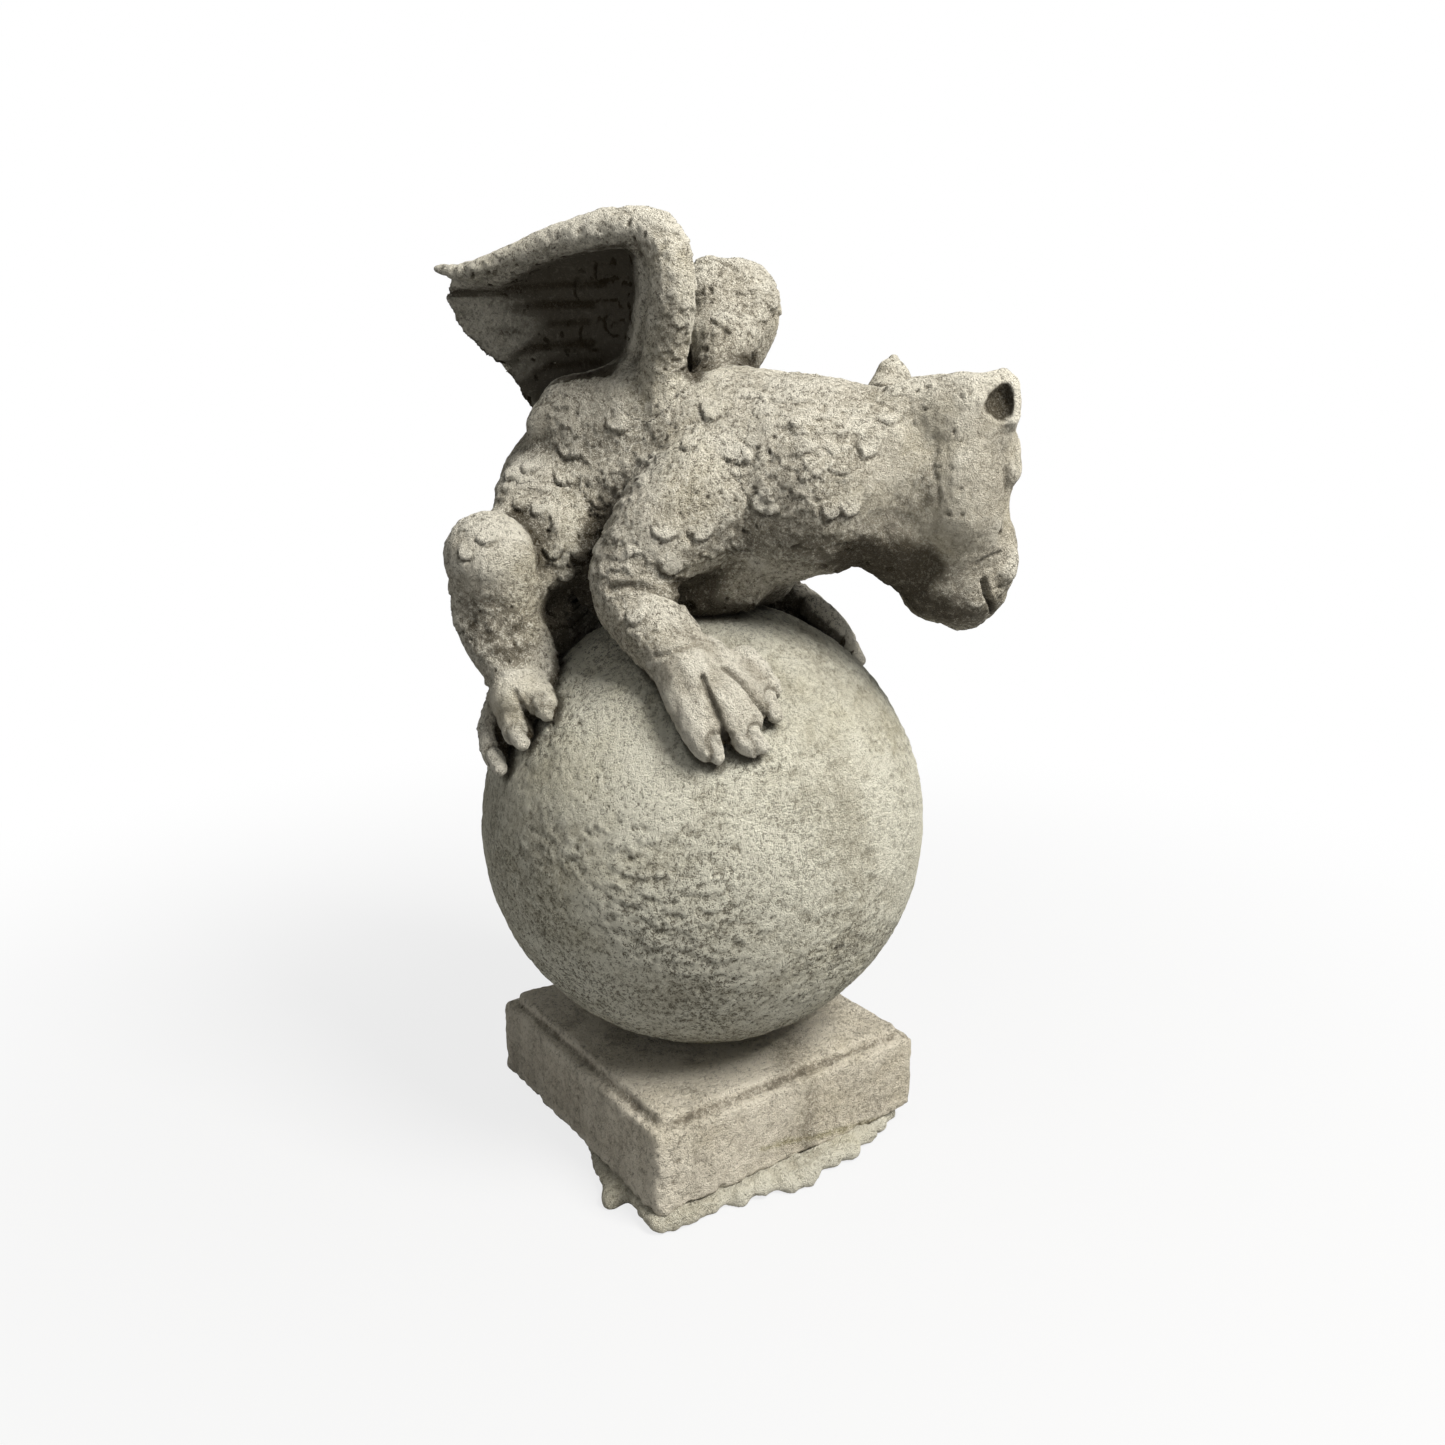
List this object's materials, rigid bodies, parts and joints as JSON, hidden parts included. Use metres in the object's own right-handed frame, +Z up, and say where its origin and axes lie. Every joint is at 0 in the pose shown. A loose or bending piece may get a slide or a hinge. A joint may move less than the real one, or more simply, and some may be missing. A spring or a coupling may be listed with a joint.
{
  "type": "winged dragon finial",
  "caption": "Weathered cast-stone winged dragon crouching over a large ball on a square stepped plinth, a gate-pier or garden finial that stands on its flat underside.",
  "frame": {"origin": "middle of the plinth on the underside of the bedding mortar, where the finial stands", "axes": "+Z up; plinth sides along X and Y; the dragon's chest faces 65 degrees from +X towards -Y"},
  "size_m": [0.2255, 0.2534, 0.4413],
  "materials": {
    "figure_stone": "weathered cast stone",
    "ball_stone": "pitted cast stone",
    "plinth_stone": "weathered cast stone",
    "mortar": "rough lime mortar",
    "steel": "mill"
  },
  "bodies": {
    "root": {"plinth": "plinth_stone", "bedding_mortar": "mortar", "ball": "ball_stone", "ball_bed_mortar": "mortar", "centre_rod": "steel", "figure_bed_mortar": "mortar", "torso": "figure_stone", "neck_and_head": "figure_stone", "right_wing": "figure_stone", "left_wing": "figure_stone", "right_foreleg": "figure_stone", "left_foreleg": "figure_stone", "right_hind_leg": "figure_stone", "left_hind_leg": "figure_stone", "tail": "figure_stone", "neck_dowel": "steel", "wing_dowels": "steel", "foreleg_dowels": "steel", "hind_leg_dowels": "steel", "tail_dowel": "steel"}
  },
  "joints": []
}
